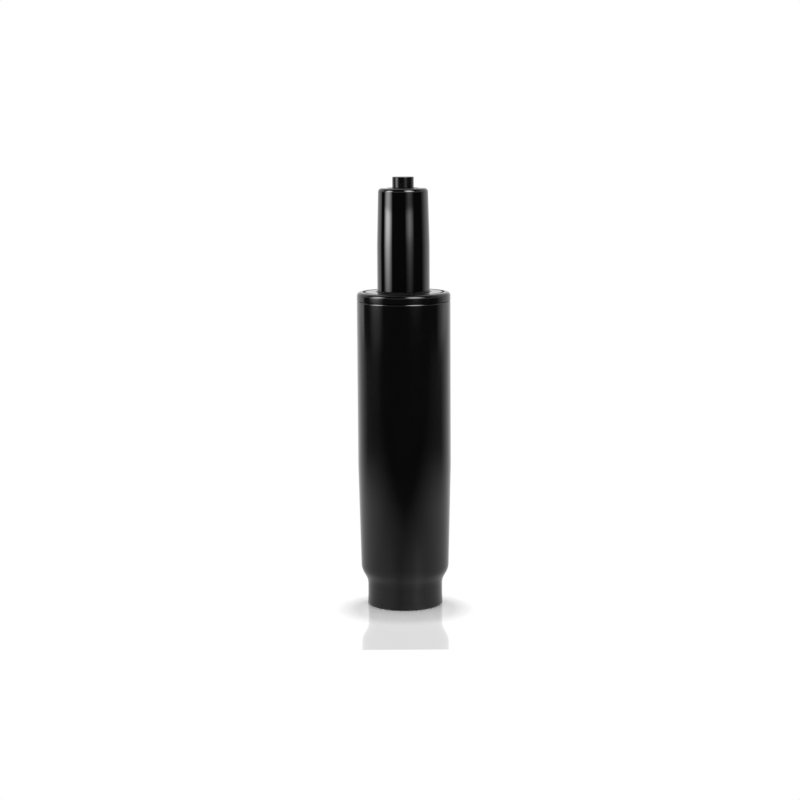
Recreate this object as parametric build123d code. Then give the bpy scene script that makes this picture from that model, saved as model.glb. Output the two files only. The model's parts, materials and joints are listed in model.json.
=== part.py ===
from build123d import *
from math import atan2, pi, tan
import os

# Chair gas lift cylinder, fully lowered, with its cones for the chair's base and seat.
# Sizes are in millimetres. +Z is up along the axis that everything turns on, and the origin is
# the middle of the column's lower rim, on the floor when the lift stands by itself.

# Clearances
running_clearance = 0.05    # on the radius, between pieces that move on one another
seat_clearance = 0.05       # on the radius, between pieces that sit in one another
axial_play = 0.1            # along the axis, between pieces that turn or slide past one another
stop_gap = 0.3              # left between the pieces that end a travel
cut_overrun = 1.0

# Travels
lift_stroke = 80.0
press_travel = 3.0

# Locating cones of the column's foot and of the pressure tube's top
cone_share = 1 / 19.922     # diameter that a cone loses, as a share of its height

# Column tube
column_diameter = 50.0
column_wall = 1.5
column_edge = 1.0
base_cone_length = 57.0
shoulder_height = 6.2
shoulder_depth = 3.52
shoulder_blend = 8.0
neck_height = 13.4
mouth_flare = 0.33
flare_height = 5.0
flare_blend = 30.0
mouth_edge = 0.9
mouth_lip = 2.0

# Guide sleeve
guide_engagement = 62.3     # pressure tube that the sleeve still holds when the lift is fully up
guide_reach = 17.0          # how far the sleeve goes below the tube's lower end then
flange_height = 4.6
flange_edge = 2.0
flange_groove_inset = 3.1
flange_groove_width = 1.4
flange_groove_depth = 0.8
sleeve_chamfer = 1.0
sleeve_bush_wall = 3.0
sleeve_collar_height = 10.0
sleeve_foot_height = 6.0
sleeve_rib_width = 2.4
sleeve_rib_count = 12

# Base plate, a pressed cup that stands on the column's lip
plate_thickness = 3.0
plate_skirt_wall = 1.9
plate_skirt_height = 4.5
plate_bend = 1.0
race_seat_depth = 0.6

# Thrust bearing
race_thickness = 1.8
race_groove_depth = 0.5
race_edge = 0.3
ball_diameter = 4.75
ball_spacing = 1.25
ball_play = 0.05
pocket_play = 0.12
cage_rod_gap = 1.2
cage_rim = 1.0
cage_inset = 0.8
cage_thickness = 2.2

# Piston rod
rod_diameter = 10.0
rod_shoulder_width = 1.0
rod_spigot_step = 1.5
rod_chamfer = 0.6
rod_tip_length = 2.0
rivet_reach = 1.5
rivet_height = 2.0
rivet_round = 1.4

# Clip and washer under the base plate
clip_relief = 1.3
clip_band = 2.7
clip_thickness = 1.0
clip_groove_depth = 0.8
clip_lug_width = 3.0
rod_washer_margin = 1.0
rod_washer_thickness = 1.0

# Rubber buffer that the pressure tube comes down on
buffer_inset = 2.0
buffer_height = 10.0
buffer_waist_depth = 1.6
buffer_edge = 1.2
buffer_washer_thickness = 1.2

# Pressure tube
tube_diameter = 28.0
tube_wall = 1.5
tube_round = 2.0
tube_protrusion = 55.0
tube_foot_gap = 2.5
seat_cone_length = 30.0

# Closure at the foot of the pressure tube
end_washer_thickness = 2.5
rod_seal_height = 6.0
seal_lip_width = 1.4
seal_lip_depth = 3.0
seal_washer_thickness = 1.5
rod_guide_height = 7.0
rod_guide_spigot = 5.0
gas_slot_width = 3.0
gas_slot_depth = 2.2
gas_slot_count = 4

# Inner cylinder and piston
gas_gap = 1.5
cylinder_wall = 1.0
piston_height = 9.0
piston_side_clearance = 0.15
piston_edge = 0.5
piston_washer_inset = 1.0
piston_washer_thickness = 1.2
seal_section = 2.0

# Valve body
valve_land_length = 12.3
valve_waist_length = 12.0
valve_spigot_length = 6.0
valve_chamber_width = 2.5
valve_throat_gap = 0.5
valve_floor_thickness = 5.0
valve_seat_width = 1.2
valve_seat_height = 1.6
valve_port_diameter = 2.5
valve_port_count = 4
valve_retainer_height = 5.0
spacer_bore_play = 0.3
spacer_groove_depth = 0.8
spacer_groove_width = 4.0

# Valve pin
pin_diameter = 5.0
pin_head_inset = 0.2
pin_head_height = 2.0
pin_waist_depth = 0.8
pin_waist_length = 6.0

# Release button and the cap that guides it
button_diameter = 11.4
button_protrusion = 5.9
button_shank_length = 13.8
button_chamfer = 0.4
button_foot_ledge = 0.9
button_foot_height = 2.0
button_socket_depth = 3.0
cap_rim = 2.8
cap_recess = 0.5
cap_chamfer = 0.3

# Radii that several pieces share
column_radius = column_diameter / 2
column_bore = column_radius - column_wall
cone_foot_radius = column_radius - base_cone_length * cone_share / 2
neck_radius = cone_foot_radius - shoulder_depth
neck_bore = neck_radius - column_wall
plate_radius = neck_bore - seat_clearance
rod_radius = rod_diameter / 2
rod_end_radius = rod_radius - rod_shoulder_width
rod_spigot_radius = rod_radius - rod_spigot_step
clip_groove_radius = rod_end_radius - clip_groove_depth
clip_radius = rod_end_radius + clip_relief + clip_band
ball_radius = ball_diameter / 2
pocket_radius = ball_radius + pocket_play
cage_bore = rod_end_radius + cage_rod_gap
ball_circle = cage_bore + cage_rim + pocket_radius
cage_radius = ball_circle + pocket_radius + cage_rim
race_radius = cage_radius + cage_inset
ball_count = int(2 * pi * ball_circle / (ball_diameter + ball_spacing))
tube_radius = tube_diameter / 2
tube_bore = tube_radius - tube_wall
tube_inner_round = tube_round - tube_wall
tube_foot_opening = rod_radius + tube_foot_gap
buffer_radius = tube_radius - buffer_inset
cylinder_radius = tube_bore - gas_gap
cylinder_bore = cylinder_radius - cylinder_wall
seal_radius = seal_section / 2
pin_radius = pin_diameter / 2
throat_radius = pin_radius + valve_throat_gap
valve_seat_radius = throat_radius + valve_seat_width
chamber_radius = pin_radius + valve_chamber_width
pin_seal_section = valve_chamber_width - running_clearance - seat_clearance
pin_seal_height = pin_seal_section + axial_play
button_radius = button_diameter / 2
button_foot_radius = button_radius + button_foot_ledge
tube_top_opening = button_radius + cap_rim

# Heights of the column's cone, from the rim up
base_cone_foot = neck_height + shoulder_height
base_cone_top = base_cone_foot + base_cone_length

# Heights of the bearing and the buffer, each on the one below
plate_bottom = column_wall + plate_skirt_height
washer_bottom = plate_bottom - axial_play - rod_washer_thickness
clip_top = washer_bottom - seat_clearance
clip_groove_bottom = clip_top - clip_thickness - seat_clearance
plate_top = plate_bottom + plate_thickness
lower_race_bottom = plate_top - race_seat_depth
lower_race_top = lower_race_bottom + race_thickness
ball_height = lower_race_top - race_groove_depth + ball_play + ball_radius
upper_race_bottom = ball_height + ball_radius + ball_play - race_groove_depth
rod_shoulder = upper_race_bottom + race_thickness
buffer_top = rod_shoulder + buffer_height
tube_bottom = buffer_top + buffer_washer_thickness + stop_gap

# Heights of the column's upper end and of what stands out of it
flange_top = tube_bottom + lift_stroke + guide_engagement
column_height = flange_top - flange_height
sleeve_bottom = tube_bottom + lift_stroke - guide_reach
tube_top = flange_top + tube_protrusion
seat_cone_foot = tube_top - seat_cone_length
button_top = tube_top + button_protrusion

# Heights of the closure at the tube's foot
end_washer_bottom = tube_bottom + tube_wall
rod_seal_bottom = end_washer_bottom + end_washer_thickness
seal_washer_bottom = rod_seal_bottom + rod_seal_height
rod_guide_bottom = seal_washer_bottom + seal_washer_thickness
cylinder_bottom = rod_guide_bottom + rod_guide_height
rod_guide_top = cylinder_bottom + rod_guide_spigot

# Heights of the piston, which meets the rod guide when the lift is fully up
piston_stack_bottom = rod_guide_top + lift_stroke + stop_gap
piston_bottom = piston_stack_bottom + piston_washer_thickness
piston_top = piston_bottom + piston_height
rivet_bottom = piston_top + piston_washer_thickness

# Heights of the button and the valve, from the tube's top down
button_bottom = tube_top - button_shank_length
valve_top = button_bottom - press_travel - stop_gap
valve_land_bottom = valve_top - valve_land_length
cylinder_top = valve_land_bottom - valve_waist_length
valve_bottom = cylinder_top - valve_spigot_length
chamber_floor = valve_bottom + valve_floor_thickness
spacer_bottom = chamber_floor + pin_seal_height
retainer_bottom = valve_top - valve_retainer_height
spacer_top = retainer_bottom - pin_seal_height
port_height = cylinder_top + valve_waist_length / 2


def turned(*corners):
    """A solid turned about Z. A corner is (radius, height), and a third number rounds it."""
    points = [(radius, height) for radius, height, *_ in corners]
    rounds = [rest[0] if rest else 0 for _, _, *rest in corners]
    outline = FilletPolyline(*points, radius=rounds, close=True)
    return revolve(Plane.XZ * make_face(outline), Axis.Z)


def washer(bore, radius, bottom, thickness, edge=0):
    """A flat ring with its two outer edges rounded."""
    top = bottom + thickness
    return turned((bore, bottom), (radius, bottom, edge), (radius, top, edge), (bore, top))


def seal_ring(mid_radius, height, section):
    """A round-section seal ring."""
    return Pos(0, 0, height) * Torus(mid_radius, section / 2)


def seal_groove(mid_radius, height):
    """The cut for a seal ring in a turned piece, open to the outside."""
    half = seal_radius + seat_clearance
    floor, mouth = mid_radius - half, mid_radius + half + cut_overrun
    low, high = height - half, height + half
    return turned((floor, low), (mouth, low), (mouth, high), (floor, high))


def all_round(count, piece):
    """Copies of a piece at even angles about Z."""
    return [place * piece for place in PolarLocations(0, count)]


def tube_bore_at(height):
    """Bore radius of the pressure tube, which narrows along the seat cone."""
    return tube_bore - max(0, height - seat_cone_foot) * cone_share / 2


def column_tube():
    """Swaged steel tube: straight, cone for the base, shoulder and neck, with its lip rolled in."""
    slope = atan2(shoulder_depth, shoulder_height)
    wall_lift = column_wall * tan(slope / 2)    # keeps the wall even round the shoulder
    return turned(
        (neck_bore - mouth_lip, 0),
        (neck_radius + mouth_flare, 0, mouth_edge),
        (neck_radius, flare_height, flare_blend),
        (neck_radius, neck_height, shoulder_blend),
        (cone_foot_radius, base_cone_foot, shoulder_blend),
        (column_radius, base_cone_top),
        (column_radius, column_height, column_edge),
        (column_bore, column_height),
        (column_bore, base_cone_top),
        (cone_foot_radius - column_wall, base_cone_foot + wall_lift, shoulder_blend - column_wall),
        (neck_bore, neck_height + wall_lift, shoulder_blend + column_wall),
        (neck_bore, column_wall),
        (neck_bore - mouth_lip, column_wall),
    )


def guide_sleeve():
    """Moulded bush with a flange on the column's end, and pockets between its outer ribs."""
    bore = tube_radius + running_clearance
    outside = column_bore - seat_clearance
    groove_outside = column_radius - flange_groove_inset
    groove_inside = groove_outside - flange_groove_width
    groove_floor = flange_top - flange_groove_depth
    sleeve = turned(
        (bore + sleeve_chamfer, sleeve_bottom),
        (outside - sleeve_chamfer, sleeve_bottom),
        (outside, sleeve_bottom + sleeve_chamfer),
        (outside, column_height),
        (column_radius, column_height),
        (column_radius, flange_top, flange_edge),
        (groove_outside, flange_top),
        (groove_outside, groove_floor),
        (groove_inside, groove_floor),
        (groove_inside, flange_top),
        (bore + sleeve_chamfer, flange_top),
        (bore, flange_top - sleeve_chamfer),
        (bore, sleeve_bottom + sleeve_chamfer),
    )
    pocket_bottom = sleeve_bottom + sleeve_foot_height
    pocket_height = column_height - sleeve_collar_height - pocket_bottom
    pocket_floor = bore + sleeve_bush_wall
    pocket = washer(pocket_floor, outside + cut_overrun, pocket_bottom, pocket_height)
    rib_length = outside + 2 * cut_overrun
    rib = Pos(0, 0, pocket_bottom) * Box(
        rib_length, sleeve_rib_width, pocket_height, align=(Align.MIN, Align.CENTER, Align.MIN)
    )
    return sleeve - (pocket - all_round(sleeve_rib_count, rib))


def base_plate():
    """Pressed cup on the column's lip, with a seat for the lower race on top."""
    hub = rod_end_radius + running_clearance
    race_seat = race_radius + seat_clearance
    outer_bend = min(plate_bend + plate_skirt_wall, plate_radius - race_seat - race_edge)
    return turned(
        (hub, plate_bottom),
        (plate_radius - plate_skirt_wall, plate_bottom, plate_bend),
        (plate_radius - plate_skirt_wall, column_wall),
        (plate_radius, column_wall),
        (plate_radius, plate_top, outer_bend),
        (race_seat, plate_top),
        (race_seat, lower_race_bottom),
        (hub, lower_race_bottom),
    )


def ball_track():
    """What the balls need in a race: a ring a little fatter than the balls."""
    return seal_ring(ball_circle, ball_height, ball_diameter + 2 * ball_play)


def bearing_lower_race():
    """Fixed race, with a bore as wide as the cage's, clear of the turning rod."""
    race = washer(cage_bore, race_radius, lower_race_bottom, race_thickness, race_edge)
    return race - ball_track()


def bearing_upper_race():
    """Race that carries the rod's shoulder."""
    bore = rod_end_radius + seat_clearance
    return washer(bore, race_radius, upper_race_bottom, race_thickness, race_edge) - ball_track()


def bearing_cage():
    """Flat cage with a pocket for each ball."""
    bottom = ball_height - cage_thickness / 2
    cage = washer(cage_bore, cage_radius, bottom, cage_thickness)
    pocket = Pos(ball_circle, 0, ball_height) * Cylinder(
        pocket_radius, cage_thickness + 2 * cut_overrun
    )
    return cage - all_round(ball_count, pocket)


def bearing_balls():
    """The balls, each a solid of its own."""
    return Part() + all_round(ball_count, Pos(ball_circle, 0, ball_height) * Sphere(ball_radius))


def piston_rod():
    """Ground rod: clip groove and shoulder at its foot, riveted spigot for the piston on top."""
    tip = clip_groove_bottom - rod_tip_length
    rivet_radius = rod_spigot_radius + rivet_reach
    return turned(
        (0, tip),
        (rod_end_radius - rod_chamfer, tip),
        (rod_end_radius, tip + rod_chamfer),
        (rod_end_radius, clip_groove_bottom),
        (clip_groove_radius, clip_groove_bottom),
        (clip_groove_radius, washer_bottom),
        (rod_end_radius, washer_bottom),
        (rod_end_radius, rod_shoulder),
        (rod_radius, rod_shoulder),
        (rod_radius, piston_stack_bottom),
        (rod_spigot_radius, piston_stack_bottom),
        (rod_spigot_radius, rivet_bottom),
        (rivet_radius, rivet_bottom),
        (rivet_radius, rivet_bottom + rivet_height, rivet_round),
        (0, rivet_bottom + rivet_height),
    )


def rod_washer():
    """Washer between the turning clip and the base plate."""
    bore = rod_end_radius + seat_clearance
    return washer(bore, clip_radius + rod_washer_margin, washer_bottom, rod_washer_thickness)


def rod_clip():
    """E-shaped clip: an open ring with three lugs that grip the bottom of the rod's groove."""
    grip = clip_groove_radius + seat_clearance
    ring = Circle(clip_radius) - Circle(clip_radius - clip_band)
    lug = Rectangle(clip_radius - clip_band / 2, clip_lug_width, align=(Align.MIN, Align.CENTER))
    mouth = Rectangle(clip_radius + cut_overrun, 2 * grip, align=(Align.MIN, Align.CENTER))
    outline = ring - mouth
    for angle in (90, 180, 270):
        outline += Rot(0, 0, angle) * lug
    outline -= Circle(grip)
    return Pos(0, 0, clip_top - clip_thickness) * extrude(outline, clip_thickness)


def buffer():
    """Rubber bump stop with a rounded waist, on the upper race."""
    bore = rod_radius + seat_clearance
    middle = (rod_shoulder + buffer_top) / 2
    waist_half_height = 2 * buffer_waist_depth
    return turned(
        (bore, rod_shoulder),
        (buffer_radius, rod_shoulder, buffer_edge),
        (buffer_radius, middle - waist_half_height, buffer_edge),
        (buffer_radius - buffer_waist_depth, middle, buffer_waist_depth),
        (buffer_radius, middle + waist_half_height, buffer_edge),
        (buffer_radius, buffer_top, buffer_edge),
        (bore, buffer_top),
    )


def buffer_washer():
    """Steel washer that spreads the tube's landing over the buffer."""
    bore = rod_radius + seat_clearance
    return washer(bore, buffer_radius, buffer_top, buffer_washer_thickness, race_edge)


def pressure_tube():
    """The visible tube: seat cone at the top, both ends rolled in over what they close."""
    cone_top_radius = tube_bore_at(tube_top) + tube_wall
    return turned(
        (tube_foot_opening, tube_bottom),
        (tube_radius, tube_bottom, tube_round),
        (tube_radius, seat_cone_foot),
        (cone_top_radius, tube_top, tube_round),
        (tube_top_opening, tube_top),
        (tube_top_opening, tube_top - tube_wall),
        (tube_bore_at(tube_top - tube_wall), tube_top - tube_wall, tube_inner_round),
        (tube_bore, seat_cone_foot),
        (tube_bore, tube_bottom + tube_wall, tube_inner_round),
        (tube_foot_opening, tube_bottom + tube_wall),
    )


def end_washer():
    """Steel washer on the rolled lip at the tube's foot."""
    bore, radius = rod_radius + running_clearance, tube_bore - seat_clearance
    return washer(bore, radius, end_washer_bottom, end_washer_thickness, tube_inner_round)


def rod_seal():
    """Lip seal: the groove in its pressure side spreads the lips on the rod and the tube."""
    bore, radius = rod_radius + running_clearance, tube_bore - seat_clearance
    top = rod_seal_bottom + rod_seal_height
    middle = (bore + radius) / 2
    return turned(
        (bore, rod_seal_bottom),
        (radius, rod_seal_bottom),
        (radius, top),
        (middle + seal_lip_width, top),
        (middle, top - seal_lip_depth),
        (middle - seal_lip_width, top),
        (bore, top),
    )


def seal_washer():
    """Steel washer that keeps the seal off the rod guide."""
    bore, radius = rod_radius + running_clearance, tube_bore - seat_clearance
    return washer(bore, radius, seal_washer_bottom, seal_washer_thickness)


def rod_guide():
    """Guide for the rod, with the inner cylinder on its step and slots that let the gas round."""
    bore = rod_radius + running_clearance
    guide = turned(
        (bore, rod_guide_bottom),
        (tube_bore - seat_clearance, rod_guide_bottom),
        (tube_bore - seat_clearance, cylinder_bottom),
        (cylinder_bore - seat_clearance, cylinder_bottom),
        (cylinder_bore - seat_clearance, rod_guide_top),
        (bore, rod_guide_top),
    )
    slot_floor = cylinder_bore - gas_slot_depth
    slot = Pos(slot_floor, 0, cylinder_bottom - gas_slot_depth) * Box(
        tube_radius, gas_slot_width, rod_guide_height + rod_guide_spigot,
        align=(Align.MIN, Align.CENTER, Align.MIN),
    )
    return guide - all_round(gas_slot_count, slot)


def inner_cylinder():
    """Honed tube that the piston runs in, between the rod guide and the valve body."""
    return washer(cylinder_bore, cylinder_radius, cylinder_bottom, cylinder_top - cylinder_bottom)


piston_seal_mid = cylinder_bore - running_clearance - seal_radius
piston_seal_height = (piston_bottom + piston_top) / 2


def piston():
    """Piston with a groove for its seal."""
    bore, radius = rod_spigot_radius + seat_clearance, cylinder_bore - piston_side_clearance
    body = washer(bore, radius, piston_bottom, piston_height, piston_edge)
    return body - seal_groove(piston_seal_mid, piston_seal_height)


def piston_seal():
    """Seal ring that runs on the inner cylinder."""
    return seal_ring(piston_seal_mid, piston_seal_height, seal_section)


def piston_washers():
    """Two support washers, which the rod's shoulder and rivet press on the piston."""
    bore = rod_spigot_radius + seat_clearance
    places = (piston_stack_bottom, piston_top)
    radius = cylinder_bore - piston_washer_inset
    return Part() + [washer(bore, radius, place, piston_washer_thickness) for place in places]


land_seal_height = (valve_land_bottom + valve_top) / 2
land_seal_mid = tube_bore_at(land_seal_height + seal_radius) - seat_clearance - seal_radius
spigot_seal_height = (valve_bottom + cylinder_top) / 2
spigot_seal_mid = cylinder_bore - seat_clearance - seal_radius


def valve_ports(reach):
    """Round cuts that let gas out sideways at the height of the valve body's waist."""
    drill = Pos(0, 0, port_height) * Rot(0, 90, 0) * Cylinder(
        valve_port_diameter / 2, reach + cut_overrun, align=(Align.CENTER, Align.CENTER, Align.MIN)
    )
    return all_round(valve_port_count, drill)


def valve_body():
    """Carries the valve: spigot in the inner cylinder, waist for the gas, land in the tube's cone."""
    body = turned(
        (valve_seat_radius, valve_bottom),
        (cylinder_bore - seat_clearance, valve_bottom),
        (cylinder_bore - seat_clearance, cylinder_top),
        (cylinder_radius, cylinder_top),
        (cylinder_radius, valve_land_bottom),
        (tube_bore_at(valve_land_bottom) - seat_clearance, valve_land_bottom),
        (tube_bore_at(valve_top) - seat_clearance, valve_top),
        (chamber_radius, valve_top),
        (chamber_radius, chamber_floor),
        (throat_radius, chamber_floor),
        (throat_radius, valve_bottom + valve_seat_height),
    )
    body -= seal_groove(land_seal_mid, land_seal_height)
    body -= seal_groove(spigot_seal_mid, spigot_seal_height)
    return body - valve_ports(cylinder_radius)


def valve_body_seals():
    """Seal rings on the valve body's land and spigot."""
    land = seal_ring(land_seal_mid, land_seal_height, seal_section)
    spigot = seal_ring(spigot_seal_mid, spigot_seal_height, seal_section)
    return Part() + [land, spigot]


def valve_spacer():
    """Sleeve between the pin's seals, with a groove outside so that its ports need no lining up."""
    radius = chamber_radius - seat_clearance
    bore = pin_radius + spacer_bore_play
    groove_floor = radius - spacer_groove_depth
    groove_bottom_edge = port_height - spacer_groove_width / 2
    sleeve = washer(bore, radius, spacer_bottom, spacer_top - spacer_bottom)
    groove = washer(groove_floor, radius + cut_overrun, groove_bottom_edge, spacer_groove_width)
    return sleeve - groove - valve_ports(radius)


def valve_pin_seals():
    """Seal rings on the valve pin, below and above the spacer."""
    middle = (pin_radius + chamber_radius) / 2
    heights = (chamber_floor + pin_seal_height / 2, retainer_bottom - pin_seal_height / 2)
    return Part() + [seal_ring(middle, height, pin_seal_section) for height in heights]


def valve_retainer():
    """Plug that closes the chamber and guides the pin."""
    bore, radius = pin_radius + running_clearance, chamber_radius - seat_clearance
    return washer(bore, radius, retainer_bottom, valve_retainer_height)


def valve_cap():
    """Bush under the tube's rolled lip. It guides the button and keeps its foot in."""
    shoulder = tube_top - tube_wall
    boss = tube_top_opening - seat_clearance
    boss_top = tube_top - cap_recess
    bore = button_radius + running_clearance
    foot_bore = button_foot_radius + running_clearance
    foot_stop = button_bottom + button_foot_height + axial_play
    return turned(
        (foot_bore, valve_top),
        (tube_bore_at(valve_top) - seat_clearance, valve_top),
        (tube_bore_at(shoulder) - seat_clearance, shoulder, tube_inner_round),
        (boss, shoulder),
        (boss, boss_top, cap_chamfer),
        (bore + cap_chamfer, boss_top),
        (bore, boss_top - cap_chamfer),
        (bore, foot_stop),
        (foot_bore, foot_stop),
    )


def release_button():
    """Push button with a foot that the cap holds back and a socket for the valve pin."""
    socket = pin_radius + seat_clearance
    return turned(
        (socket, button_bottom),
        (button_foot_radius, button_bottom),
        (button_foot_radius, button_bottom + button_foot_height),
        (button_radius, button_bottom + button_foot_height),
        (button_radius, button_top, button_chamfer),
        (0, button_top),
        (0, button_bottom + button_socket_depth),
        (socket, button_bottom + button_socket_depth),
    )


def valve_pin():
    """Pin with a plug head under the valve seat, and a waist that lets gas past the lower seal."""
    head = valve_seat_radius - pin_head_inset
    seat = valve_seat_radius - axial_play
    seat_slope = valve_seat_width / valve_seat_height
    head_edge = valve_bottom + (seat - head) / seat_slope
    head_top = valve_bottom + (seat - pin_radius) / seat_slope
    waist_bottom = spacer_bottom + axial_play
    waist_top = waist_bottom + pin_waist_length
    waist = pin_radius - pin_waist_depth
    return turned(
        (0, head_edge - pin_head_height),
        (head, head_edge - pin_head_height),
        (head, head_edge),
        (pin_radius, head_top),
        (pin_radius, waist_bottom),
        (waist, waist_bottom + pin_waist_depth),
        (waist, waist_top - pin_waist_depth),
        (pin_radius, waist_top),
        (pin_radius, button_bottom + button_socket_depth),
        (0, button_bottom + button_socket_depth),
    )


pieces = (
    column_tube, guide_sleeve, base_plate, bearing_lower_race,
    bearing_cage, bearing_balls,
    piston_rod, bearing_upper_race, rod_washer, rod_clip, buffer, buffer_washer,
    piston, piston_washers, piston_seal,
    pressure_tube, inner_cylinder, end_washer, rod_seal, seal_washer, rod_guide,
    valve_body, valve_body_seals, valve_spacer, valve_pin_seals, valve_retainer, valve_cap,
    release_button, valve_pin,
)

os.makedirs("parts", exist_ok=True)
for piece in pieces:
    export_step(piece(), f"parts/{piece.__name__}.step")
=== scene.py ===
# %% [markdown]
# A gas lift holds up the seat of an office chair: a gas-filled tube slides in an outer column,
# and a button on top lets it move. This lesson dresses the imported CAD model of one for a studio
# picture. The CAD bodies move on their joints, so whatever is modelled here rides on one of them.
# All lengths are in metres, and Z is the axis that everything turns on.

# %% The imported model
import bmesh
import bpy
import json
from math import atan2, ceil, cos, hypot, pi, radians, sin, tan
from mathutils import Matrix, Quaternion, Vector


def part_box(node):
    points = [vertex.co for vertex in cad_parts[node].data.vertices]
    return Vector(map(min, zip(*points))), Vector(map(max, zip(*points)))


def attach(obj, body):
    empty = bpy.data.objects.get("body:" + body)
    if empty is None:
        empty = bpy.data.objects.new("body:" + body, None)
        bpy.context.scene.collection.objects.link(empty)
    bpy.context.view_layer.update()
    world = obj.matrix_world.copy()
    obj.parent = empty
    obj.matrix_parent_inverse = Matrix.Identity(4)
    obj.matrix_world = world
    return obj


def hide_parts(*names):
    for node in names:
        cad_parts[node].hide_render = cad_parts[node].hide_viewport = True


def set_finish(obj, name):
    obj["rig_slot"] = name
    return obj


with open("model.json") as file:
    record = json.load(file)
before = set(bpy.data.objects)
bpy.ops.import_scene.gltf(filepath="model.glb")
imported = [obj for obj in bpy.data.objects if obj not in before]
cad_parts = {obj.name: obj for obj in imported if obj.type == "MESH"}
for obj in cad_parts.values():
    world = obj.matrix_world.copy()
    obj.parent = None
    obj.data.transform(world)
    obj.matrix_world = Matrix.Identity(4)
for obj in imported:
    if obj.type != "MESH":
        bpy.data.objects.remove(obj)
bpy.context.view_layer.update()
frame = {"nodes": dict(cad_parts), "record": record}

# %% [markdown]
# The camera is set up before anything is dressed, so that each later step can be looked at. The
# lens is long and the camera far off, as for a small product, which keeps the tube's sides nearly
# parallel. The camera looks down a little, so the top of the flange shows as a thin ellipse.

# %% Camera
camera_place = (-0.00226, -1.0579, 0.26055)
camera_dip = radians(8.03)
camera_roll = radians(0.34)
camera_lens = 89.5

camera = bpy.data.objects.new("camera", bpy.data.cameras.new("camera"))
bpy.context.scene.collection.objects.link(camera)
camera.data.lens = camera_lens
camera.location = camera_place
camera.rotation_mode = "QUATERNION"
level_view = Quaternion((1, 0, 0), pi / 2 - camera_dip)
camera.rotation_quaternion = level_view @ Quaternion((0, 0, 1), -camera_roll)
bpy.context.scene.camera = camera
bpy.context.scene.view_settings.view_transform = "Standard"
print("camera at", camera_place, "lens", camera_lens)

# %% [markdown]
# Nearly all of a gas lift is turned: the same outline all the way round. The CAD meshes are loose
# flat triangles, whose facets would break the long reflections of a black gloss tube. So each
# piece that shows is turned again here, smooth. A screw or spin of a drawn outline would do it
# too, but pulling a ring from corner to corner is how it goes by hand, and its edges stay clean
# loops that can be rounded with a bevel.

# %% A ring, pulled from corner to corner
ring_points = 240
nearness = 0.000002


def start_ring(name, radius, height):
    """A circle of edges, in edit mode with all of it selected."""
    bpy.ops.object.select_all(action="DESELECT")
    bpy.ops.mesh.primitive_circle_add(vertices=ring_points, radius=radius, location=(0, 0, height))
    bpy.ops.object.transform_apply(location=True, rotation=True, scale=True)
    piece = bpy.context.active_object
    piece.name = piece.data.name = name
    bpy.ops.object.mode_set(mode="EDIT")
    bpy.ops.mesh.select_mode(type="EDGE")
    bpy.ops.mesh.select_all(action="SELECT")
    return piece


def pull_ring(start, end):
    """Extrudes the selected ring from one (radius, height) to the next."""
    bpy.ops.mesh.extrude_region_move(TRANSFORM_OT_translate={"value": (0, 0, end[1] - start[1])})
    spread = end[0] / start[0]
    bpy.ops.transform.resize(value=(spread, spread, 1), center_override=(0, 0, end[1]))


def select_ring(piece, radius, height):
    """Selects the edges that lie on one ring of the piece."""
    bpy.ops.mesh.select_all(action="DESELECT")
    mesh = bmesh.from_edit_mesh(piece.data)
    for edge in mesh.edges:
        edge.select_set(all(
            abs(hypot(*vert.co.xy) - radius) < nearness and abs(vert.co.z - height) < nearness
            for vert in edge.verts
        ))
    bmesh.update_edit_mesh(piece.data)


# %% [markdown]
# Rolled and moulded edges are round. A bevel takes its size as a distance along the faces, while
# a drawing gives a radius. For a corner that turns by some angle, the distance is the radius times
# the tangent of half that angle. More turn gets more segments, so that every arc looks smooth.

# %% Rounding the rings
turn_per_segment = radians(7)


def corner_turn(before, corner, after):
    """The angle by which an outline turns at a corner."""
    arriving = Vector((corner[0] - before[0], corner[1] - before[1]))
    leaving = Vector((after[0] - corner[0], after[1] - corner[1]))
    return arriving.angle(leaving)


def round_ring(piece, corner, turn):
    """Bevels the ring at (radius, height, rounding)."""
    radius, height, rounding = corner
    select_ring(piece, radius, height)
    bpy.ops.mesh.bevel(
        offset_type="OFFSET", offset=rounding * tan(turn / 2), affect="EDGES",
        segments=max(2, ceil(turn / turn_per_segment)), profile=0.5, clamp_overlap=False,
    )


def close_ends(piece, corners, solid):
    """Caps the two open rings of a solid piece, or joins them where the piece is hollow."""
    if solid:
        for corner in (corners[0], corners[-1]):
            select_ring(piece, *corner[:2])
            bpy.ops.mesh.edge_face_add()
    else:
        bpy.ops.mesh.select_all(action="DESELECT")
        bpy.ops.mesh.select_non_manifold(extend=False, use_wire=False, use_boundary=True)
        bpy.ops.mesh.bridge_edge_loops()


# %% [markdown]
# Where a long straight wall meets a small rounding, plain smooth shading bends the light over the
# whole wall. Weighted normals let the large face win, so that only the rounding looks round. The
# edges that turn sharply are kept sharp.

# %% Turning a piece, and handing it to its body
sharp_angle = radians(20)


def smooth(piece):
    """Smooth shading that keeps sharp edges sharp and long walls straight."""
    bpy.ops.object.shade_smooth_by_angle(angle=sharp_angle)
    bpy.ops.object.modifier_add(type="WEIGHTED_NORMAL")
    piece.modifiers[-1].keep_sharp = True
    bpy.ops.object.modifier_apply(modifier=piece.modifiers[-1].name)


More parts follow.
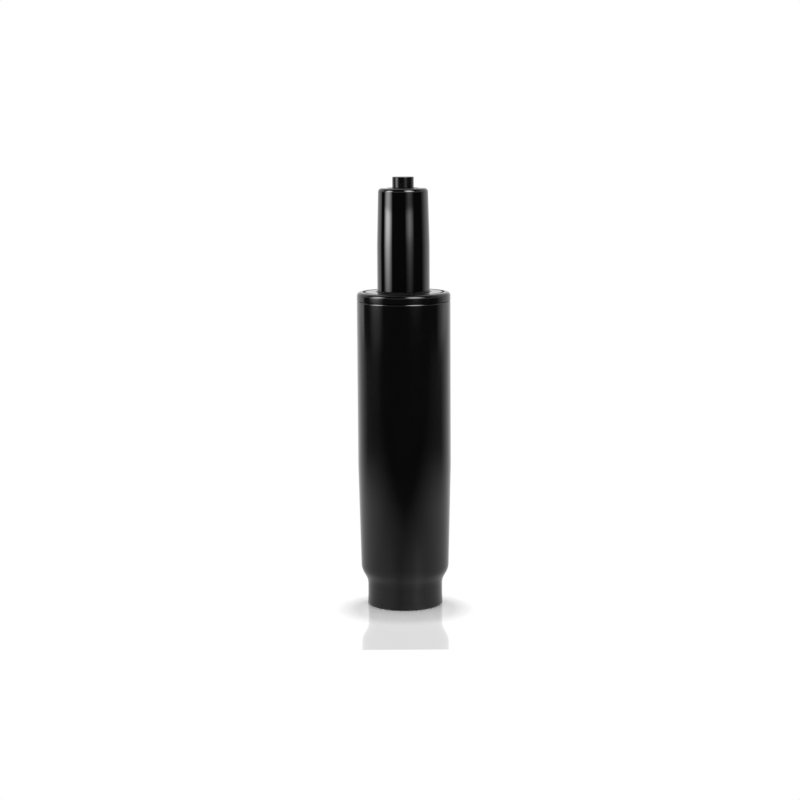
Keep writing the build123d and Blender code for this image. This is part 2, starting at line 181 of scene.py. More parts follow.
def turned(name, corners, solid=False, shape=None):
    """A turned piece. A corner is (radius, height) or (radius, height, rounding)."""
    piece = start_ring(name, *corners[0][:2])
    for start, end in zip(corners, corners[1:]):
        pull_ring(start[:2], end[:2])
    close_ends(piece, corners, solid)
    for index, corner in enumerate(corners):
        if len(corner) == 3:
            after = corners[(index + 1) % len(corners)]
            if solid and corner is corners[-1]:
                after = (0, corner[1])
            round_ring(piece, corner, corner_turn(corners[index - 1], corner, after))
    if shape:
        shape(piece)
    bpy.ops.mesh.select_all(action="SELECT")
    bpy.ops.mesh.remove_doubles(threshold=nearness / 2)
    bpy.ops.mesh.normals_make_consistent(inside=False)
    bpy.ops.object.mode_set(mode="OBJECT")
    smooth(piece)
    return piece


def stand_in(piece, node, body, slot):
    """The piece stands for a CAD node, moves with its body and takes its finish from a slot."""
    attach(piece, body)
    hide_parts(node)
    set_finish(piece, slot)


# %% [markdown]
# The column is a welded tube, swaged to a slight cone that jams in the chair's base. Below the
# cone it steps in over a soft shoulder to a neck, whose mouth is flared a hair and rolled in to
# hold the bearing's plate. Its wall is the same all along, so the inside follows the outside.

# %% Column tube
column_wall = 0.0015
column_edge = 0.001
cone_share = 1 / 19.922
base_cone_length = 0.057
shoulder_height = 0.0062
shoulder_depth = 0.00352
shoulder_blend = 0.008
neck_height = 0.0134
mouth_flare = 0.00033
flare_height = 0.005
flare_blend = 0.03
mouth_edge = 0.0009
mouth_lip = 0.002

column_radius, _, column_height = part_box("column_tube")[1]
column_bore = column_radius - column_wall
cone_foot_radius = column_radius - base_cone_length * cone_share / 2
neck_radius = cone_foot_radius - shoulder_depth
neck_bore = neck_radius - column_wall
base_cone_foot = neck_height + shoulder_height
base_cone_top = base_cone_foot + base_cone_length


def column_tube():
    """Swaged tube with its cone, shoulder, neck and rolled mouth."""
    wall_lift = column_wall * tan(atan2(shoulder_depth, shoulder_height) / 2)
    return turned("column_tube_turned", (
        (neck_bore - mouth_lip, 0),
        (neck_radius + mouth_flare, 0, mouth_edge),
        (neck_radius, flare_height, flare_blend),
        (neck_radius, neck_height, shoulder_blend),
        (cone_foot_radius, base_cone_foot, shoulder_blend),
        (column_radius, base_cone_top),
        (column_radius, column_height, column_edge),
        (column_bore, column_height),
        (column_bore, base_cone_top),
        (cone_foot_radius - column_wall, base_cone_foot + wall_lift, shoulder_blend - column_wall),
        (neck_bore, neck_height + wall_lift, shoulder_blend + column_wall),
        (neck_bore, column_wall),
        (neck_bore - mouth_lip, column_wall),
    ))


column = column_tube()
stand_in(column, "column_tube", "column", "column_coat")

# %% [markdown]
# A long plastic bush fills the top of the column and guides the sliding tube. Its flange closes
# the column's end and carries a shallow groove. Further down the moulder saved plastic with
# pockets between ribs. A pocket is a block of faces, pulled in towards the axis: the ring has
# 240 points, so a rib is four faces wide and a pocket sixteen.

# %% Guide sleeve
running_clearance = 0.00005
seat_clearance = 0.00005
flange_edge = 0.002
flange_groove_inset = 0.0031
flange_groove_width = 0.0014
flange_groove_depth = 0.0008
sleeve_chamfer = 0.001
sleeve_bush_wall = 0.003
sleeve_collar_height = 0.01
sleeve_foot_height = 0.006
sleeve_rib_count = 12
rib_half_angle = radians(3)

tube_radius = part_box("pressure_tube")[1].x
sleeve_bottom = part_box("guide_sleeve")[0].z
flange_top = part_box("guide_sleeve")[1].z
sleeve_bore = tube_radius + running_clearance
sleeve_radius = column_bore - seat_clearance
pocket_bottom = sleeve_bottom + sleeve_foot_height
pocket_top = column_height - sleeve_collar_height
pocket_floor = sleeve_bore + sleeve_bush_wall


def pull_pockets(piece):
    """Extrudes the outer faces between the ribs inwards."""
    bpy.ops.mesh.select_all(action="DESELECT")
    bpy.ops.mesh.select_mode(type="FACE")
    pitch = 2 * pi / sleeve_rib_count
    mesh = bmesh.from_edit_mesh(piece.data)
    for face in mesh.faces:
        x, y, z = face.calc_center_median()
        off_rib = abs((atan2(y, x) + pitch / 2) % pitch - pitch / 2) > rib_half_angle
        outside = hypot(x, y) > sleeve_radius - sleeve_chamfer / 2
        face.select_set(outside and off_rib and pocket_bottom < z < pocket_top)
    bmesh.update_edit_mesh(piece.data)
    depth = pocket_floor / sleeve_radius
    bpy.ops.mesh.extrude_region_move()
    bpy.ops.transform.resize(value=(depth, depth, 1), center_override=(0, 0, pocket_bottom))
    bpy.ops.mesh.select_mode(type="EDGE")


def guide_sleeve():
    """Bush, flange and groove, with the pockets between the ribs."""
    groove_outside = column_radius - flange_groove_inset
    groove_inside = groove_outside - flange_groove_width
    return turned("guide_sleeve_turned", (
        (sleeve_bore + sleeve_chamfer, sleeve_bottom),
        (sleeve_radius - sleeve_chamfer, sleeve_bottom),
        (sleeve_radius, sleeve_bottom + sleeve_chamfer),
        (sleeve_radius, pocket_bottom),
        (sleeve_radius, pocket_top),
        (sleeve_radius, column_height),
        (column_radius, column_height),
        (column_radius, flange_top, flange_edge),
        (groove_outside, flange_top),
        (groove_outside, flange_top - flange_groove_depth),
        (groove_inside, flange_top - flange_groove_depth),
        (groove_inside, flange_top),
        (sleeve_bore + sleeve_chamfer, flange_top),
        (sleeve_bore, flange_top - sleeve_chamfer),
        (sleeve_bore, sleeve_bottom + sleeve_chamfer),
    ), shape=pull_pockets)


sleeve = guide_sleeve()
stand_in(sleeve, "guide_sleeve", "column", "sleeve_plastic")

# %% [markdown]
# The pressure tube is the part that slides. Its upper end is a slight cone that jams in the seat's
# plate, and both ends are rolled in over what closes them. The roll gives the soft shoulder that
# catches the lamps.

# %% Pressure tube
tube_wall = 0.0015
tube_round = 0.002
tube_foot_opening = 0.0075
cap_rim = 0.0028
seat_cone_length = 0.03

tube_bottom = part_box("pressure_tube")[0].z
tube_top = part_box("pressure_tube")[1].z
seat_cone_foot = tube_top - seat_cone_length
tube_bore = tube_radius - tube_wall
inner_round = tube_round - tube_wall
button_radius = 0.0057
tube_top_opening = button_radius + cap_rim


def bore_at(height):
    """Bore radius of the pressure tube, which narrows along its cone."""
    return tube_bore - max(0, height - seat_cone_foot) * cone_share / 2


def pressure_tube():
    """The sliding tube, with its cone and its rolled ends."""
    lip = tube_top - tube_wall
    return turned("pressure_tube_turned", (
        (tube_foot_opening, tube_bottom),
        (tube_radius, tube_bottom, tube_round),
        (tube_radius, seat_cone_foot),
        (bore_at(tube_top) + tube_wall, tube_top, tube_round),
        (tube_top_opening, tube_top),
        (tube_top_opening, lip),
        (bore_at(lip), lip, inner_round),
        (tube_bore, seat_cone_foot),
        (tube_bore, tube_bottom + tube_wall, inner_round),
        (tube_foot_opening, tube_bottom + tube_wall),
    ))


tube = pressure_tube()
stand_in(tube, "pressure_tube", "cylinder", "tube_coat")

# %% [markdown]
# A bush sits under the tube's rolled lip and guides the release button. Its rim shows as a thin
# dark ring round the button. The button itself is a turned steel stub with a broken edge. Its
# foot is wider than the bush's bore, so that the gas can't push it out, and it is hollow below,
# where the valve pin stands.

# %% Cap and button
cap_recess = 0.0005
cap_chamfer = 0.0003
axial_play = 0.0001
button_chamfer = 0.0004
button_foot_ledge = 0.0009
button_foot_height = 0.002
button_socket_radius = 0.00255
button_socket_depth = 0.003

button_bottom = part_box("release_button")[0].z
button_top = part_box("release_button")[1].z
button_foot_radius = button_radius + button_foot_ledge


def valve_cap():
    """Bush that guides the button."""
    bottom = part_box("valve_cap")[0].z
    shoulder = tube_top - tube_wall
    boss_top = tube_top - cap_recess
    bore = button_radius + running_clearance
    foot_bore = button_foot_radius + running_clearance
    foot_stop = button_bottom + button_foot_height + axial_play
    return turned("valve_cap_turned", (
        (foot_bore, bottom),
        (bore_at(bottom) - seat_clearance, bottom),
        (bore_at(shoulder) - seat_clearance, shoulder, inner_round),
        (tube_top_opening - seat_clearance, shoulder),
        (tube_top_opening - seat_clearance, boss_top, cap_chamfer),
        (bore + cap_chamfer, boss_top),
        (bore, boss_top - cap_chamfer),
        (bore, foot_stop),
        (foot_bore, foot_stop),
    ))


def release_button():
    """Button with its foot below and the socket for the valve pin."""
    return turned("release_button_turned", (
        (button_socket_radius, button_bottom + button_socket_depth),
        (button_socket_radius, button_bottom),
        (button_foot_radius, button_bottom),
        (button_foot_radius, button_bottom + button_foot_height),
        (button_radius, button_bottom + button_foot_height),
        (button_radius, button_top, button_chamfer),
    ), solid=True)


cap = valve_cap()
stand_in(cap, "valve_cap", "cylinder", "sleeve_plastic")
button = release_button()
stand_in(button, "release_button", "button", "tube_coat")

# %% [markdown]
# Seen from below, the neck is closed by a pressed cup with the end of the piston rod through it.
# The cup stands on the column's rolled mouth and holds the bearing. The rod is ground steel, set
# back to a thinner end with a groove for its clip, and riveted over the piston at the other end.

# %% Base plate and piston rod
plate_thickness = 0.003
plate_skirt_wall = 0.0019
plate_bend = 0.001
race_seat_depth = 0.0006
rod_shoulder_width = 0.001
rod_spigot_step = 0.0015
rod_chamfer = 0.0006
clip_groove_depth = 0.0008
rivet_reach = 0.0015
rivet_height = 0.002
rivet_round = 0.0014

rod_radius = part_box("piston_rod")[1].x
rod_end_radius = rod_radius - rod_shoulder_width
plate_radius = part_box("base_plate")[1].x
plate_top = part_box("base_plate")[1].z


def base_plate():
    """Pressed cup with the bearing's seat on top."""
    hub = rod_end_radius + running_clearance
    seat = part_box("bearing_lower_race")[1].x + seat_clearance
    seat_floor = plate_top - race_seat_depth
    bottom = plate_top - plate_thickness
    return turned("base_plate_pressed", (
        (hub, bottom),
        (plate_radius - plate_skirt_wall, bottom, plate_bend),
        (plate_radius - plate_skirt_wall, column_wall),
        (plate_radius, column_wall),
        (plate_radius, plate_top, plate_bend + plate_skirt_wall),
        (seat, plate_top),
        (seat, seat_floor),
        (hub, seat_floor),
    ))


def piston_rod():
    """Ground rod with its clip groove, shoulder, spigot and rivet head."""
    tip, rivet_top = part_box("piston_rod")[0].z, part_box("piston_rod")[1].z
    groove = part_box("rod_clip")[0].z - seat_clearance
    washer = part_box("rod_washer")[0].z
    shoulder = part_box("buffer")[0].z
    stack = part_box("piston_washers")[0].z
    groove_radius = rod_end_radius - clip_groove_depth
    spigot_radius = rod_radius - rod_spigot_step
    rivet_radius = spigot_radius + rivet_reach
    return turned("piston_rod_ground", (
        (rod_end_radius - rod_chamfer, tip),
        (rod_end_radius, tip + rod_chamfer),
        (rod_end_radius, groove),
        (groove_radius, groove),
        (groove_radius, washer),
        (rod_end_radius, washer),
        (rod_end_radius, shoulder),
        (rod_radius, shoulder),
        (rod_radius, stack),
        (spigot_radius, stack),
        (spigot_radius, rivet_top - rivet_height),
        (rivet_radius, rivet_top - rivet_height),
        (rivet_radius, rivet_top, rivet_round),
    ), solid=True)


plate = base_plate()
stand_in(plate, "base_plate", "column", "plate_steel")
rod = piston_rod()
stand_in(rod, "piston_rod", "rod", "hard_chrome")

# %% [markdown]
# Finishes are made of nodes. Writing them as arithmetic keeps a recipe readable, so a small class
# wraps a socket, and each plus or times adds a Math node. Every other kind of node comes from one
# method, which takes the node's type, its settings and the values or links of its sockets.

# %% Shader arithmetic
class Socket:
    """An output socket that can be added to, multiplied and so on."""

    def __init__(self, tree, link):
        self.tree, self.link = tree, link

    def __add__(self, other):
        return self.tree.maths("ADD", self, other)

    def __radd__(self, other):
        return self.tree.maths("ADD", other, self)

    def __sub__(self, other):
        return self.tree.maths("SUBTRACT", self, other)

    def __rsub__(self, other):
        return self.tree.maths("SUBTRACT", other, self)

    def __mul__(self, other):
        return self.tree.maths("MULTIPLY", self, other)

    def __rmul__(self, other):
        return self.tree.maths("MULTIPLY", other, self)

    def __truediv__(self, other):
        return self.tree.maths("DIVIDE", self, other)

    def __pow__(self, other):
        return self.tree.maths("POWER", self, other)

    def __abs__(self):
        return self.tree.maths("ABSOLUTE", self)


class Tree:
    """The nodes of one material or of the world."""

    def __init__(self, owner):
        owner.use_nodes = True
        self.nodes, self.links = owner.node_tree.nodes, owner.node_tree.links
        self.nodes.clear()

    def add(self, kind, inputs=None, output=0, **settings):
        """A node of that kind. Inputs are values or Sockets, by name or number."""
        node = self.nodes.new(kind)
        for name, value in settings.items():
            setattr(node, name, value)
        for name, value in (inputs or {}).items():
            if isinstance(value, Socket):
                self.links.new(value.link, node.inputs[name])
            else:
                node.inputs[name].default_value = value
        return Socket(self, node.outputs[output]) if node.outputs else node

    def maths(self, operation, first, second=0.0):
        """One Math node."""
        return self.add("ShaderNodeMath", {0: first, 1: second}, operation=operation)

    def ramp(self, value, start, end, low=0.0, high=1.0):
        """The value mapped from start..end to low..high, and held outside it."""
        return self.add(
            "ShaderNodeMapRange", {0: value, 1: start, 2: end, 3: low, 4: high}, clamp=True
        )

    def hill(self, value, foot, top, far_foot):
        """0 up to the foot, 1 at the top and 0 again from the far foot on."""
        return self.ramp(value, foot, top) - self.ramp(value, top, far_foot)

    def blend(self, factor, first, second):
        """A colour between two colours."""
        return self.add(
            "ShaderNodeMix", {0: factor, 6: first, 7: second}, output=2, data_type="RGBA"
        )


# %% [markdown]
# A finish is more than a colour. Powder coat has a fine orange peel, ground steel has lines that
# run round it, and moulded plastic is dull where the mould was etched. All of these are small
# differences in roughness and height, laid out on the object's own coordinates so that they stay
# put when a body moves. Lines along a tube come from noise that is stretched along Z, and rings
# round the axis come from noise that knows only the radius and the height.

# %% Patterns and a surface
dielectric_ior = 1.5
plain_detail = 3.0
ring_detail = 2.0


class Finish(Tree):
    """A material with the patterns that the finishes here share."""

    def __init__(self, name):
        material = bpy.data.materials.new(name)
        super().__init__(material)
        self.material = material
        self.place = self.add("ShaderNodeTexCoord", output="Object")
        self.height = self.add("ShaderNodeSeparateXYZ", {0: self.place}, output="Z")

    def noise(self, per_metre, detail=plain_detail, stretch=(1.0, 1.0, 1.0)):
        """Noise from 0 to 1 with so many features to a metre."""
        place = self.add("ShaderNodeMapping", {"Vector": self.place, "Scale": stretch})
        return self.add(
            "ShaderNodeTexNoise", {"Vector": place, "Scale": per_metre, "Detail": detail}
        )

    def aside(self):
        """Distance to the right of the axis, as the camera sees it."""
        return self.add("ShaderNodeSeparateXYZ", {0: self.place}, output="X")

    def radius(self, ahead=0.0):
        """Distance from the axis, or from a line that lies ahead of it."""
        x, y = self.aside(), self.depth() + ahead
        return (x * x + y * y) ** 0.5

    def depth(self):
        """Distance behind the axis, as the camera sees it."""
        return self.add("ShaderNodeSeparateXYZ", {0: self.place}, output="Y")

    def turn(self):
        """Angle about the axis, from the camera's side to the right."""
        return self.maths("ARCTAN2", self.aside(), 0 - self.depth())

    def rings(self, per_metre):
        """Fine turning marks round the axis, from 0 to 1."""
        across = self.add("ShaderNodeCombineXYZ", {0: self.radius(), 2: self.height})
        return self.add(
            "ShaderNodeTexNoise", {"Vector": across, "Scale": per_metre, "Detail": ring_detail}
        )

    def surface(self, colour, roughness, height=None, height_distance=0.0, **constants):
        """Ends the material in a shader. Constants are set on the shader's own sockets."""
        inputs = {"Base Color": colour, "Roughness": roughness, "IOR": dielectric_ior}
        if height is not None:
            inputs["Normal"] = self.add(
                "ShaderNodeBump", {"Height": height, "Distance": height_distance}
            )
        inputs.update({name.replace("_", " "): value for name, value in constants.items()})
        shader = self.add("ShaderNodeBsdfPrincipled", inputs)
        self.add("ShaderNodeOutputMaterial", {"Surface": shader})
        return self.material


def grey(level, warmth=0.0):
    """A near-neutral colour of that level, a share warmer or cooler."""
    return (level * (1 + warmth), level, level * (1 - warmth), 1.0)


# %% [markdown]
# The two coats are what the picture is about. The column has a satin powder coat: the powder
# flows out into shallow dimples about a millimetre across, and reflections are soft. The tube's
# is finer and glossier, and on the button the lever has worn it dull. All of them are nearly
# black, so all that shows is what they reflect.

# %% Coats
coat_dimples, tube_dimples = 850.0, 1500.0
coat_depth, tube_depth = 0.000003, 0.0000012
coat_patches = 45.0
column_dullness, tube_dullness, button_dullness = 0.085, 0.03, 0.16
button_gloss = 0.28


def column_coat():
    """Satin black powder coat."""
    finish = Finish("column_coat")
    patches = finish.noise(coat_patches)
    dimples = finish.noise(coat_dimples, detail=1.5)
    grains = finish.noise(coat_dimples * 5, detail=2.0)
    colour = finish.blend(patches, grey(0.0011, -0.04), grey(0.0018, -0.04))
    roughness = column_dullness + 0.03 * patches + 0.02 * grains
    return finish.surface(colour, roughness, dimples + 0.15 * grains, coat_depth)


def tube_coat():
    """Gloss black, finer than the column's."""
    finish = Finish("tube_coat")
    patches = finish.noise(coat_patches)
    dimples = finish.noise(tube_dimples, detail=1.5)
    draw_lines = finish.noise(tube_dimples, stretch=(1.0, 1.0, 0.03))
    colour = finish.blend(patches, grey(0.0009, -0.05), grey(0.0014, -0.05))
    roughness = tube_dullness + 0.015 * patches + 0.01 * draw_lines
    return finish.surface(colour, roughness, dimples + 0.3 * draw_lines, tube_depth)


def button_coat():
    """The tube's black, worn dull by the lever."""
    finish = Finish("button_coat")
    worn = finish.noise(coat_patches * 4, detail=5.0)
    rings = finish.rings(tube_dimples)
    colour = finish.blend(worn, grey(0.0012, -0.05), grey(0.0022, -0.05))
    roughness = button_dullness + 0.05 * worn + 0.03 * rings
    return finish.surface(colour, roughness, rings, tube_depth, Specular_IOR_Level=button_gloss)


# %% [markdown]
# The plastics differ by their moulds. The black sleeve comes from a lightly etched mould, and it
# reflects less than the coats beside it. The cage and the rod guide are natural nylon: off-white,
# a little waxy, with faint flow marks.

# %% Plastics and rubbers
etch_grains = 5200.0
etch_depth = 0.000004
flow_marks = 120.0
sleeve_dullness, nylon_dullness = 0.09, 0.32
sleeve_gloss = 0.35


def sleeve_plastic():
    """Black plastic from an etched mould."""
    finish = Finish("sleeve_plastic")
    flow = finish.noise(flow_marks)
    etch = finish.noise(etch_grains, detail=2.0)
    colour = finish.blend(flow, grey(0.0018, -0.03), grey(0.003, -0.03))
    roughness = sleeve_dullness + 0.02 * flow + 0.015 * etch
    return finish.surface(colour, roughness, etch, etch_depth / 2, Specular_IOR_Level=sleeve_gloss)


def natural_plastic(name, level):
    """Off-white nylon with faint flow marks."""
    finish = Finish(name)
    flow = finish.noise(flow_marks, detail=4.0)
    etch = finish.noise(etch_grains / 2, detail=2.0)
    colour = finish.blend(flow, grey(level, 0.02), grey(level * 0.9, 0.06))
    return finish.surface(colour, nylon_dullness + 0.14 * flow, etch, etch_depth)


def rubber(name, level, dullness):
    """Black rubber with a dusty bloom in patches."""
    finish = Finish(name)
    bloom = finish.noise(flow_marks * 2, detail=5.0)
    skin = finish.noise(etch_grains, detail=2.0)
    colour = finish.blend(bloom ** 2, grey(level), grey(level * 2.2, 0.03))
    return finish.surface(colour, dullness + 0.15 * bloom, skin, etch_depth * 2)


# %% [markdown]
# Metals tell how they were made. The rod is ground between wheels and plated with hard chrome,
# which leaves the finest of lines round it. Races are ground flat, alloy and brass parts are
# turned with coarser rings, the plate is pressed from oiled sheet with streaks of the rolling
# mill, and the clip is blackened spring steel, worn bright in specks.

# %% Metals
ground_rings = 16000.0
turned_rings = 5000.0
ring_depth = 0.000002
mill_streaks = 2600.0
plate_dullness, clip_dullness = 0.28, 0.42
clip_wear = (0.62, 0.7)


def turned_metal(name, bright, dull, dullness, rings_per_metre):
    """Metal with tool marks that run round the axis."""
    finish = Finish(name)
    rings = finish.rings(rings_per_metre)
    stains = finish.noise(flow_marks, detail=5.0)
    colour = finish.blend(stains, bright, dull)
    roughness = dullness + 0.1 * rings + 0.08 * stains
    return finish.surface(colour, roughness, rings, ring_depth, Metallic=1.0)


def plate_steel():
    """Pressed sheet steel with streaks of the rolling mill and a film of oil."""
    finish = Finish("plate_steel")
    streaks = finish.noise(mill_streaks, detail=4.0, stretch=(0.02, 1.0, 1.0))
    oil = finish.noise(flow_marks, detail=5.0)
    colour = finish.blend(streaks, grey(0.42, 0.01), grey(0.31, 0.03))
    roughness = plate_dullness + 0.14 * streaks + 0.12 * oil
    return finish.surface(colour, roughness, streaks, ring_depth, Metallic=1.0)


def spring_steel():
    """Blackened spring steel, bright where it rubs."""
    finish = Finish("spring_steel")
    film = finish.noise(flow_marks * 3, detail=6.0)
    worn = finish.ramp(film, *clip_wear)
    colour = finish.blend(worn, grey(0.055, -0.03), grey(0.38))
    return finish.surface(colour, clip_dullness - 0.12 * worn, film, ring_depth, Metallic=1.0)


# %% [markdown]
# Each material slot of the record gets its finish, and each CAD node takes the one that its own
# slot names. The pieces turned above take the same.

# %% Dressing every node and piece
finishes = {
    "column_coat": column_coat(),
    "tube_coat": tube_coat(),
    "sleeve_plastic": sleeve_plastic(),
    "plate_steel": plate_steel(),
    "spring_steel": spring_steel(),
    "race_steel": turned_metal("race_steel", grey(0.6, -0.01), grey(0.5), 0.12, ground_rings),
    "hard_chrome": turned_metal("hard_chrome", grey(0.68, -0.01), grey(0.62), 0.05, ground_rings),
    "cage_plastic": natural_plastic("cage_plastic", 0.74),
    "guide_plastic": natural_plastic("guide_plastic", 0.66),
    "light_alloy": turned_metal("light_alloy", grey(0.72), grey(0.6, 0.01), 0.2, turned_rings),
    "turned_brass": turned_metal(
        "turned_brass", (0.7, 0.46, 0.17, 1.0), (0.5, 0.3, 0.11, 1.0), 0.18, turned_rings
    ),
    "seal_rubber": rubber("seal_rubber", 0.012, 0.42),
    "buffer_rubber": rubber("buffer_rubber", 0.02, 0.55),
}
new_pieces = (column, sleeve, tube, cap, button, plate, rod)


def dress(piece, slot):
    """Gives every material slot of a piece the finish."""
    if not piece.material_slots:
        piece.data.materials.append(finishes[slot])
    for place in piece.material_slots:
        place.material = finishes[slot]


for part in frame["record"]["subparts"]:
    dress(frame["nodes"][part["node"]], part["material_slot"])
for piece in new_pieces:
    dress(piece, piece["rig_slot"])
worn_button = button_coat()
for piece in (button, frame["nodes"]["release_button"]):
    for place in piece.material_slots:
        place.material = worn_button
print("finishes:", len(finishes), "nodes:", len(frame["nodes"]), "new pieces:", len(new_pieces))

# %% [markdown]
# The studio is plain: a white table, a white room behind it, and darkness where the camera
# stands. The table glows white, and only a patch round the foot is paint, which takes the soft
# shadow; to both sides of the foot that paint is darker, a painted shadow. Close to the object it
# is polished, and mirrors the foot faintly. Its underside is clear, so that the part can also be
# looked at from below.
#
# Black gloss shows its surroundings and little else. So what the object mirrors of the table is
# painted light and shade of its own: darker in front, with a pale and a dark painted streak near
# the foot, and paler behind.

# %% Table
table_half_width = 1.2
table_front, table_back = -0.45, 3.0
shadow_ahead, shadow_reach, shadow_end = 0.014, 0.026, 0.037
table_polish, polish_end, polish_fade = 0.28, 0.0975, 0.001
# Painted shade: the table's paint grows darker to both sides of the foot.
side_painted_shade = (0.014, 0.024, 1.0, 0.84)
side_gain = 0.4
front_shade = (-0.27, 0.04, 0.035, 0.68)
back_shade = (0.04, 0.36, 0.0, 0.32)
far_shade = (0.27, 0.5, 0.0, 0.87)
rear_share = (0.2, 0.8, 1.0, 0.0)
# Painted light and painted shade in what the object mirrors of the table: a pale and a dark streak
# near the foot.
painted_light_streak = (radians(12), radians(29), radians(50))
painted_shade_streak = (radians(-34), radians(-12), radians(8))
painted_light_gain, painted_shade_loss = 0.4, 0.3
painted_streak_end = (0.14, 0.2, 1.0, 0.0)

bpy.ops.object.select_all(action="DESELECT")
bpy.ops.mesh.primitive_plane_add(size=2, location=(0, (table_front + table_back) / 2, 0))
table = bpy.context.active_object
table.name = "table"
table.scale = (table_half_width, (table_back - table_front) / 2, 1)
bpy.ops.object.transform_apply(location=True, rotation=True, scale=True)


def table_paint():
    """White that glows, takes shadows and a painted shade near the foot, mirrors it faintly and is
    clear below.
    """
    finish = Finish("table_paint")
    away, aside = finish.radius(), abs(finish.aside())
    glow = finish.ramp(finish.radius(shadow_ahead), shadow_reach, shadow_end)
    reach = finish.maths("MAXIMUM", aside, abs(finish.depth()))
    polish = finish.ramp(reach, polish_end, polish_end + polish_fade, table_polish, 0.0)
    white = finish.add("ShaderNodeEmission", {"Color": grey(1.0), "Strength": 1.0})
    # The paint is darker to both sides of the foot: a painted shade that deepens the soft shadow
    # there.
    paint = finish.add("ShaderNodeBsdfDiffuse", {"Color": finish.ramp(aside, *side_painted_shade)})
    mirror = finish.add("ShaderNodeBsdfGlossy", {"Color": grey(1.0), "Roughness": 0.0})
    ground = finish.add("ShaderNodeMixShader", {0: glow, 1: paint, 2: white})
    ground = finish.add("ShaderNodeMixShader", {0: polish, 1: ground, 2: mirror})
    # What the object mirrors of the table is painted light and shade: darker in front, paler
    # behind, and a pale and a dark painted streak near the foot.
    toward = finish.depth() + side_gain * aside
    lit = finish.ramp(toward, *front_shade) + finish.ramp(toward, *back_shade)
    rear = finish.ramp(finish.depth() / away, *rear_share)
    streaks = painted_light_gain * finish.hill(finish.turn(), *painted_light_streak)
    streaks = streaks - painted_shade_loss * finish.hill(finish.turn(), *painted_shade_streak)
    shade = lit * (1 - finish.ramp(away, *far_shade) * rear)
    shade = shade * (1 + streaks * finish.ramp(away, *painted_streak_end))
    dimmed = finish.add("ShaderNodeEmission", {"Color": shade, "Strength": 1.0})
    mirrored = finish.add("ShaderNodeLightPath", output="Is Glossy Ray")
    ground = finish.add("ShaderNodeMixShader", {0: mirrored, 1: ground, 2: dimmed})
    below = finish.add("ShaderNodeNewGeometry", output="Backfacing")
    clear = finish.add("ShaderNodeBsdfTransparent")
    ground = finish.add("ShaderNodeMixShader", {0: below, 1: ground, 2: clear})
    finish.add("ShaderNodeOutputMaterial", {"Surface": ground})
    return finish.material


table.data.materials.append(table_paint())
print("table from", table_front, "to", table_back)

# %% [markdown]
# Lamps with soft boxes give a black cylinder its long highlights. Each box here is a glowing
# card that the camera doesn't see. A narrow card gives a narrow highlight, and how bright the card
# is at each height shows again down the tube, so the glow follows a short list of heights.

# %% Soft boxes
card_distance = 0.8
one_bounce = 1.5


def card_glow(name, middle, plateau, spread, levels):
    """A glow that fades to both sides and goes through (height, strength) pairs.

    Only what the camera sees mirrored once shows the card. The table's mirror, the one perfectly
    sharp surface, and mirrors seen in mirrors look through it.
    """
    finish = Finish(name)
    peak = max(strength for height, strength in levels)
    share = levels[0][1] / peak
    for (low, before), (high, after) in zip(levels, levels[1:]):
        share = share + finish.ramp(finish.height, low, high, 0.0, (after - before) / peak)
    share = share * finish.ramp(abs(finish.turn() - middle), plateau, spread, 1.0, 0.0)
    bounces = finish.add("ShaderNodeLightPath", output="Ray Depth")
    sharp = Socket(finish, bounces.link.node.outputs["Is Singular Ray"])
    hidden = finish.maths("MAXIMUM", sharp, finish.maths("GREATER_THAN", bounces, one_bounce))
    glow = finish.add("ShaderNodeEmission", {"Color": share, "Strength": peak})
    clear = finish.add("ShaderNodeBsdfTransparent")
    seen = finish.add("ShaderNodeMixShader", {0: hidden, 1: glow, 2: clear})
    finish.add("ShaderNodeOutputMaterial", {"Surface": seen})
    finish.material.cycles.emission_sampling = "NONE"
    return finish.material


def soft_box(name, middle, plateau, spread, levels):
    """A card round an angle about the axis, measured from the camera's side to the right."""
    bottom, top = levels[0][0], levels[-1][0]
    half_width = card_distance * tan(spread)
    bpy.ops.object.select_all(action="DESELECT")
    bpy.ops.mesh.primitive_plane_add(size=2, rotation=(pi / 2, 0, middle), location=(
        card_distance * sin(middle), -card_distance * cos(middle), (bottom + top) / 2
    ))
    card = bpy.context.active_object
    card.name = name
    card.scale = (half_width, (top - bottom) / 2, 1)
    bpy.ops.object.transform_apply(location=True, rotation=True, scale=True)
    card.data.materials.append(card_glow(name, middle, plateau, spread, levels))
    card.visible_camera = card.visible_diffuse = card.visible_shadow = False
    print(name, "from", round(bottom, 3), "to", round(top, 3))


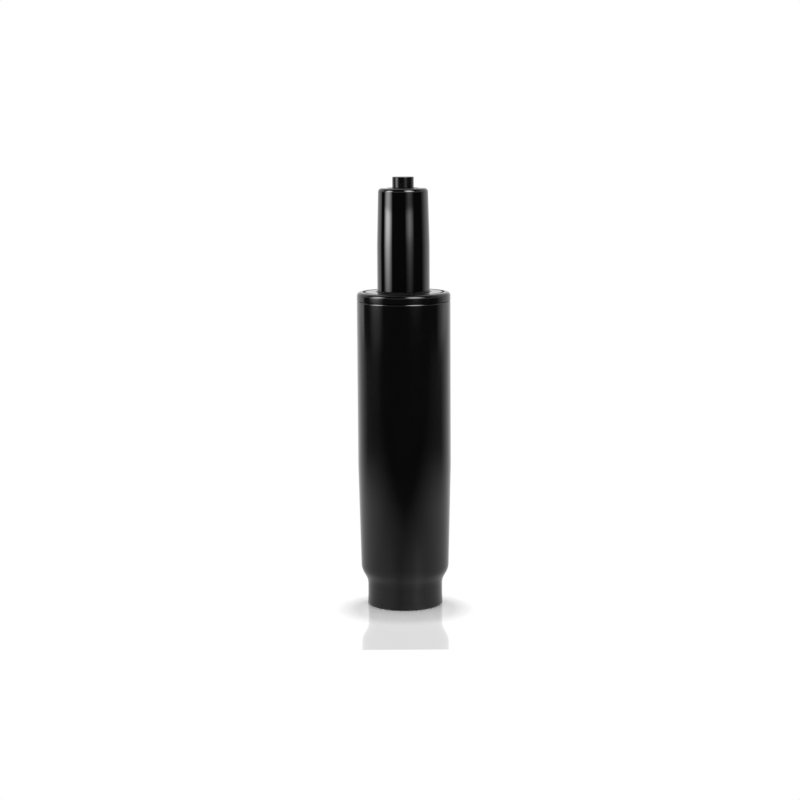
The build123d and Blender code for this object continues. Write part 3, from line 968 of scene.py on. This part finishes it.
soft_box("left_box", radians(-71.5), radians(5), radians(22), (
    (0.05, 0.3), (0.063, 0.33), (0.083, 0.2), (0.1, 0.2), (0.104, 2.8), (0.113, 3.6),
    (0.124, 4.5), (0.14, 6.2), (0.158, 8.8), (0.17, 10.1), (0.182, 10.9), (0.193, 11.1),
    (0.199, 9.9), (0.2035, 6.6), (0.207, 6.0), (0.302, 6.0), (0.4, 13.0), (0.9, 13.0),
))
soft_box("right_low_box", radians(28.5), radians(3), radians(20), (
    (0.09, 0.0), (0.1024, 0.34), (0.121, 0.57), (0.133, 0.77), (0.145, 1.1), (0.1535, 1.5),
    (0.16, 1.95), (0.169, 2.7), (0.178, 3.1), (0.198, 3.2), (0.205, 2.3), (0.21, 0.9),
    (0.223, 0.85), (0.232, 1.1), (0.45, 1.1),
))
soft_box("right_high_box", radians(31), radians(8), radians(28), ((0.45, 13.0), (1.5, 13.0)))

# %% [markdown]
# The world is the rest of the room. The camera sees it white, and dull surfaces get an even light
# from all of it. Polished surfaces see it white behind the object and dark where the camera
# stands, with a pale band just above the table's height. The table's own mirror, whose rays are
# perfectly sharp, sees white all round, so that the white floor stays white from every side.

# %% Room
room_dark = 0.03
left_edge = (radians(113), radians(117))
right_edge = (radians(88), radians(115))
pale_band = (0.07, 0.1, 0.3, 0.4)


def room(world):
    """White to the camera, and a dark-fronted room to polished surfaces."""
    tree = Tree(world)
    place = tree.add("ShaderNodeTexCoord", output="Generated")
    across = tree.add("ShaderNodeSeparateXYZ", {0: place}, output="X")
    along = Socket(tree, across.link.node.outputs["Y"])
    rise = Socket(tree, across.link.node.outputs["Z"])
    angle = tree.maths("ARCTAN2", across, 0 - along)
    behind = tree.ramp(angle, *right_edge) + tree.ramp(0 - angle, *left_edge)
    band = tree.ramp(rise, *pale_band[:2]) - tree.ramp(rise, *pale_band[2:])
    glossy = tree.add("ShaderNodeLightPath", output="Is Glossy Ray")
    sharp = Socket(tree, glossy.link.node.outputs["Is Singular Ray"])
    pale = tree.maths("MAXIMUM", tree.maths("MAXIMUM", behind, band), sharp)
    level = 1 - glossy * (1 - room_dark) * (1 - pale)
    glow = tree.add("ShaderNodeBackground", {"Color": level, "Strength": 1.0})
    tree.add("ShaderNodeOutputWorld", {"Surface": glow})


studio = bpy.data.worlds.new("studio")
studio.cycles.sampling_method = "NONE"
bpy.context.scene.world = studio
room(studio)
